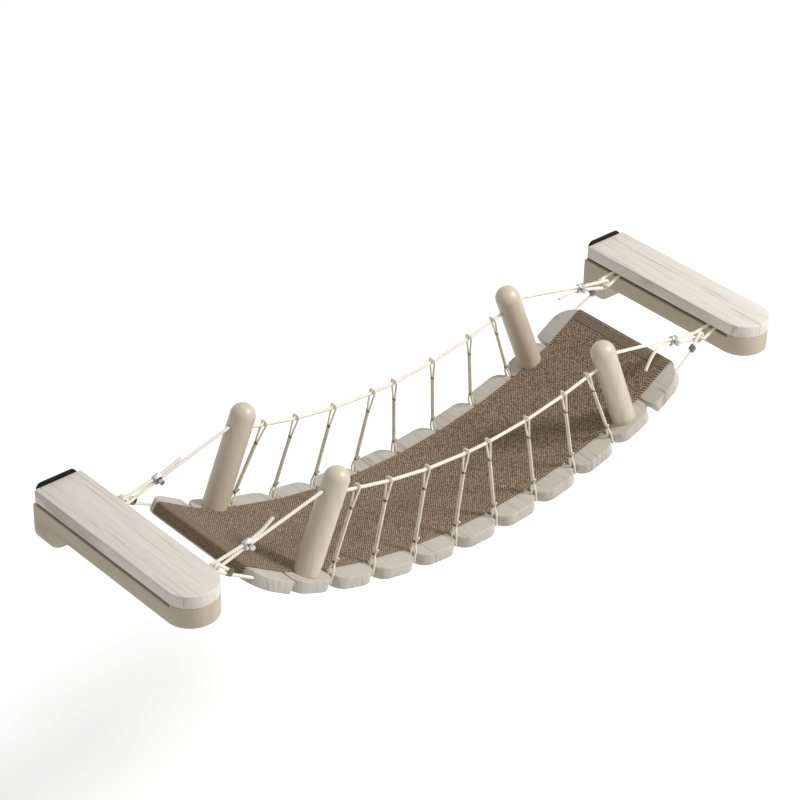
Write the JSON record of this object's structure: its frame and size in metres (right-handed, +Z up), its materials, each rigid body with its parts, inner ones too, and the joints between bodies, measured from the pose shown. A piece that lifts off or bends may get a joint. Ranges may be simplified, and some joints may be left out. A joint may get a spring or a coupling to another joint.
{
  "type": "wall mounted cat tree",
  "caption": "Wall mounted cat bridge: planks strung on ropes between two wooden wall arms, with posts, rope handrails and hangers, and a woven mat over the deck.",
  "frame": {"origin": "centre of the four wall screw holes, on the wall plane", "axes": "+Z up, +X along the wall from the left arm to the right arm, +Y into the wall; the arms reach out along -Y"},
  "size_m": [1.0214, 0.307, 0.2054],
  "materials": {
    "board_wood": "white-washed solid wood, satin",
    "body_wood": "beige stained wood, matt",
    "plank_wood": "pale washed wood, satin",
    "post_paint": "cream painted turned wood, satin",
    "black_steel": "black powder coat",
    "zinc": "bright zinc plate",
    "mat_weave": "coarse brown and beige woven",
    "thin_cord": "cream cotton cord",
    "rope": "cream cotton rope"
  },
  "bodies": {
    "arms": {"left_top_board": "board_wood", "left_lower_body": "body_wood", "left_bracket": "black_steel", "left_board_screws": "zinc", "bracket_loop_left_front": "rope", "bracket_loop_left_rear": "rope", "right_top_board": "board_wood", "right_lower_body": "body_wood", "right_bracket": "black_steel", "right_board_screws": "zinc", "bracket_loop_right_front": "rope", "bracket_loop_right_rear": "rope"},
    "deck_1": {"plank_1": "plank_wood"},
    "deck_2": {"plank_2": "plank_wood", "post_left_front": "post_paint", "post_left_rear": "post_paint", "hanger_front_2": "thin_cord", "hanger_rear_2": "thin_cord"},
    "deck_3": {"plank_3": "plank_wood", "hanger_front_3": "thin_cord", "hanger_rear_3": "thin_cord"},
    "deck_4": {"plank_4": "plank_wood", "hanger_front_4": "thin_cord", "hanger_rear_4": "thin_cord"},
    "deck_5": {"plank_5": "plank_wood", "hanger_front_5": "thin_cord", "hanger_rear_5": "thin_cord"},
    "deck_6": {"plank_6": "plank_wood", "hanger_front_6": "thin_cord", "hanger_rear_6": "thin_cord", "mat": "mat_weave", "deck_rope_front": "rope", "deck_rope_rear": "rope", "handrail_front": "rope", "handrail_rear": "rope"},
    "deck_7": {"plank_7": "plank_wood", "hanger_front_7": "thin_cord", "hanger_rear_7": "thin_cord"},
    "deck_8": {"plank_8": "plank_wood", "hanger_front_8": "thin_cord", "hanger_rear_8": "thin_cord"},
    "deck_9": {"plank_9": "plank_wood", "hanger_front_9": "thin_cord", "hanger_rear_9": "thin_cord"},
    "deck_10": {"plank_10": "plank_wood", "post_right_front": "post_paint", "post_right_rear": "post_paint"},
    "deck_11": {"plank_11": "plank_wood"},
    "left_rail_ends": {"clamp_left_front": "zinc", "clamp_left_rear": "zinc", "tail_left_front": "rope", "tail_left_rear": "rope"},
    "right_rail_ends": {"clamp_right_front": "zinc", "clamp_right_rear": "zinc", "tail_right_front": "rope", "tail_right_rear": "rope"},
    "screw_left_front": {"thumbscrew_left_front": "zinc"},
    "screw_left_rear": {"thumbscrew_left_rear": "zinc"},
    "screw_right_front": {"thumbscrew_right_front": "zinc"},
    "screw_right_rear": {"thumbscrew_right_rear": "zinc"}
  },
  "joints": [
    {"name": "deck_swing", "type": "hinge", "parent": "arms", "child": "deck_6", "pos_m": [0, -0.1535, -0.193], "axis": [0, 1, 0], "range_deg": [-5.01, 5.01], "deforming": ["mat", "deck_rope_front", "deck_rope_rear", "handrail_front", "handrail_rear", "hanger_front_2", "hanger_rear_2", "hanger_front_3", "hanger_rear_3", "hanger_front_4", "hanger_rear_4", "hanger_front_5", "hanger_rear_5", "hanger_front_6", "hanger_rear_6", "hanger_front_7", "hanger_rear_7", "hanger_front_8", "hanger_rear_8", "hanger_front_9", "hanger_rear_9"]},
    {"name": "plank_5_6", "type": "hinge", "parent": "deck_6", "child": "deck_5", "pos_m": [-0.036, -0.1535, -0.12845], "axis": [0, 1, 0], "range_deg": [-0.92, 0.92], "stiffness_Nm_per_rad": 5.4686, "springref_deg": 17.19},
    {"name": "plank_4_5", "type": "hinge", "parent": "deck_5", "child": "deck_4", "pos_m": [-0.1077, -0.1535, -0.12192], "axis": [0, 1, 0], "range_deg": [-2.12, 2.12], "stiffness_Nm_per_rad": 3.4824, "springref_deg": 17.19},
    {"name": "plank_3_4", "type": "hinge", "parent": "deck_4", "child": "deck_3", "pos_m": [-0.17854, -0.1535, -0.10905], "axis": [0, 1, 0], "range_deg": [-2.74, 2.74], "stiffness_Nm_per_rad": 1.8808, "springref_deg": 17.19},
    {"name": "plank_2_3", "type": "hinge", "parent": "deck_3", "child": "deck_2", "pos_m": [-0.24793, -0.1535, -0.0898], "axis": [0, 1, 0], "range_deg": [-2.63, 2.63], "stiffness_Nm_per_rad": 0.6656, "springref_deg": 17.19},
    {"name": "plank_1_2", "type": "hinge", "parent": "deck_2", "child": "deck_1", "pos_m": [-0.31468, -0.1535, -0.06283], "axis": [0, 1, 0], "range_deg": [-2.22, 2.22], "stiffness_Nm_per_rad": 0.1476, "springref_deg": 17.19},
    {"name": "plank_6_7", "type": "hinge", "parent": "deck_6", "child": "deck_7", "pos_m": [0.036, -0.1535, -0.12845], "axis": [0, 1, 0], "range_deg": [-0.92, 0.92], "stiffness_Nm_per_rad": 5.4696, "springref_deg": -17.19},
    {"name": "plank_7_8", "type": "hinge", "parent": "deck_7", "child": "deck_8", "pos_m": [0.1077, -0.1535, -0.12192], "axis": [0, 1, 0], "range_deg": [-2.12, 2.12], "stiffness_Nm_per_rad": 3.4832, "springref_deg": -17.19},
    {"name": "plank_8_9", "type": "hinge", "parent": "deck_8", "child": "deck_9", "pos_m": [0.17854, -0.1535, -0.10905], "axis": [0, 1, 0], "range_deg": [-2.74, 2.74], "stiffness_Nm_per_rad": 1.8816, "springref_deg": -17.19},
    {"name": "plank_9_10", "type": "hinge", "parent": "deck_9", "child": "deck_10", "pos_m": [0.24793, -0.1535, -0.0898], "axis": [0, 1, 0], "range_deg": [-2.63, 2.63], "stiffness_Nm_per_rad": 0.6665, "springref_deg": -17.19},
    {"name": "plank_10_11", "type": "hinge", "parent": "deck_10", "child": "deck_11", "pos_m": [0.31468, -0.1535, -0.06283], "axis": [0, 1, 0], "range_deg": [-2.22, 2.22], "stiffness_Nm_per_rad": 0.1476, "springref_deg": -17.19},
    {"name": "left_rail_swing", "type": "hinge", "parent": "arms", "child": "left_rail_ends", "pos_m": [-0.4167, -0.1535, 0.004], "axis": [0, 1, 0], "range_deg": [-3.81, 3.81]},
    {"name": "right_rail_swing", "type": "hinge", "parent": "arms", "child": "right_rail_ends", "pos_m": [0.4167, -0.1535, 0.004], "axis": [0, 1, 0], "range_deg": [-3.81, 3.81]},
    {"name": "turn_left_front", "type": "hinge", "parent": "left_rail_ends", "child": "screw_left_front", "pos_m": [-0.36801, -0.2435, 0.01534], "axis": [0, -1, 0], "range_deg": [0, 720]},
    {"name": "turn_left_rear", "type": "hinge", "parent": "left_rail_ends", "child": "screw_left_rear", "pos_m": [-0.36801, -0.0635, 0.01534], "axis": [0, -1, 0], "range_deg": [0, 720]},
    {"name": "turn_right_front", "type": "hinge", "parent": "right_rail_ends", "child": "screw_right_front", "pos_m": [0.36801, -0.2435, 0.01534], "axis": [0, -1, 0], "range_deg": [0, 720]},
    {"name": "turn_right_rear", "type": "hinge", "parent": "right_rail_ends", "child": "screw_right_rear", "pos_m": [0.36801, -0.0635, 0.01534], "axis": [0, -1, 0], "range_deg": [0, 720]}
  ],
  "couplings": [
    {"joint": "plank_5_6", "follows": "deck_swing", "ratio": -0.14278},
    {"joint": "plank_4_5", "follows": "deck_swing", "ratio": -0.38362},
    {"joint": "plank_3_4", "follows": "deck_swing", "ratio": -0.50762},
    {"joint": "plank_2_3", "follows": "deck_swing", "ratio": -0.48457},
    {"joint": "plank_1_2", "follows": "deck_swing", "ratio": -0.40317},
    {"joint": "plank_6_7", "follows": "deck_swing", "ratio": -0.14278},
    {"joint": "plank_7_8", "follows": "deck_swing", "ratio": -0.38362},
    {"joint": "plank_8_9", "follows": "deck_swing", "ratio": -0.50762},
    {"joint": "plank_9_10", "follows": "deck_swing", "ratio": -0.48457},
    {"joint": "plank_10_11", "follows": "deck_swing", "ratio": -0.40317},
    {"joint": "left_rail_swing", "follows": "deck_swing", "ratio": -0.72039},
    {"joint": "right_rail_swing", "follows": "deck_swing", "ratio": -0.72039}
  ]
}
